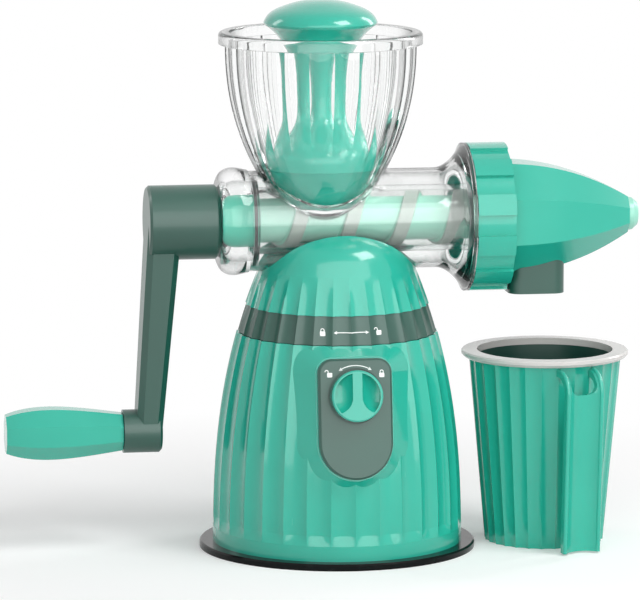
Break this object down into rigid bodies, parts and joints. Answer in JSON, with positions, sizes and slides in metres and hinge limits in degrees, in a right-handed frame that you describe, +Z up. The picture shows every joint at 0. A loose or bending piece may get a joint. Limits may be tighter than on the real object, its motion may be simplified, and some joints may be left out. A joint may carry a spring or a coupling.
{
  "type": "manual wheatgrass juicer",
  "caption": "Hand-cranked juicer: fluted suction base, clear barrel and hopper with auger, strainer cone with ring nut and spout, pusher and fluted juice cup.",
  "frame": {"origin": "centre of the suction foot on the table", "axes": "+Z up; +X along the barrel from the crank towards the strainer cone; the control knob faces -Y"},
  "size_m": [0.3827, 0.1663, 0.33],
  "materials": {
    "green_plastic": "gloss",
    "dark_green_plastic": "satin gloss",
    "mint_plastic": "gloss",
    "clear_plastic": "clear gloss",
    "clear_lip": "clear gloss",
    "black_rubber": "gloss",
    "black_seal": "matte",
    "steel": "brushed"
  },
  "bodies": {
    "base": {"base_housing": "green_plastic", "suction_cup": "black_rubber", "floor_plate": "dark_green_plastic", "floor_screws": "steel", "control_plate": "dark_green_plastic"},
    "lifter": {"pull_rod": "dark_green_plastic", "suction_membrane": "black_rubber"},
    "knob": {"suction_knob": "green_plastic", "cam_spindle": "dark_green_plastic", "spindle_clip": "steel"},
    "head": {"lock_band": "dark_green_plastic", "dome_cover": "green_plastic", "bayonet_socket": "green_plastic", "head_screws": "steel", "clear_barrel": "clear_plastic", "auger_tube": "clear_plastic", "rear_cap": "clear_plastic", "barrel_seal": "black_seal"},
    "crank": {"auger": "mint_plastic", "drive_shaft": "steel", "crank_arm": "dark_green_plastic", "grip_axle": "steel"},
    "grip": {"crank_grip": "green_plastic", "grip_cap": "green_plastic"},
    "front": {"front_gasket": "black_seal", "front_cone": "green_plastic", "strainer": "steel", "pulp_tip": "mint_plastic", "juice_spout": "dark_green_plastic"},
    "nut": {"ring_nut": "green_plastic"},
    "plunger": {"pusher": "green_plastic", "pusher_cap": "green_plastic"},
    "cup": {"cup_shell": "green_plastic", "cup_liner": "dark_green_plastic", "cup_rim": "clear_lip", "cup_handle": "green_plastic"}
  },
  "joints": [
    {"name": "knob_turn", "type": "hinge", "parent": "base", "child": "knob", "pos_m": [0, -0.073, 0.103], "axis": [0, 0.9893, -0.1461], "range_deg": [-45, 45]},
    {"name": "suction_lift", "type": "slide", "parent": "base", "child": "lifter", "axis": [0, 0, 1], "range_m": [-0.00225, 0.00225], "deforming": ["suction_membrane"]},
    {"name": "head_twist", "type": "hinge", "parent": "base", "child": "head", "pos_m": [0, 0, 0.14], "axis": [0, 0, 1], "range_deg": [0, 25]},
    {"name": "crank_turn", "type": "hinge", "parent": "head", "child": "crank", "pos_m": [-0.09, 0, 0.198], "axis": [1, 0, 0], "continuous": true},
    {"name": "grip_spin", "type": "hinge", "parent": "crank", "child": "grip", "pos_m": [-0.168, 0, 0.0725], "axis": [1, 0, 0], "continuous": true},
    {"name": "front_pull", "type": "slide", "parent": "head", "child": "front", "axis": [1, 0, 0], "range_m": [0, 0.1]},
    {"name": "nut_turn", "type": "hinge", "parent": "front", "child": "nut", "pos_m": [0.09, 0, 0.198], "axis": [1, 0, 0], "range_deg": [0, 90]},
    {"name": "plunger_lift", "type": "slide", "parent": "head", "child": "plunger", "axis": [0, 0, 1], "range_m": [0, 0.15]},
    {"name": "cup_out", "type": "slide", "parent": "base", "child": "cup", "axis": [0, -1, 0], "range_m": [0, 0.16]}
  ],
  "couplings": [
    {"joint": "knob_turn", "follows": "suction_lift", "rad_per_m": 349}
  ]
}
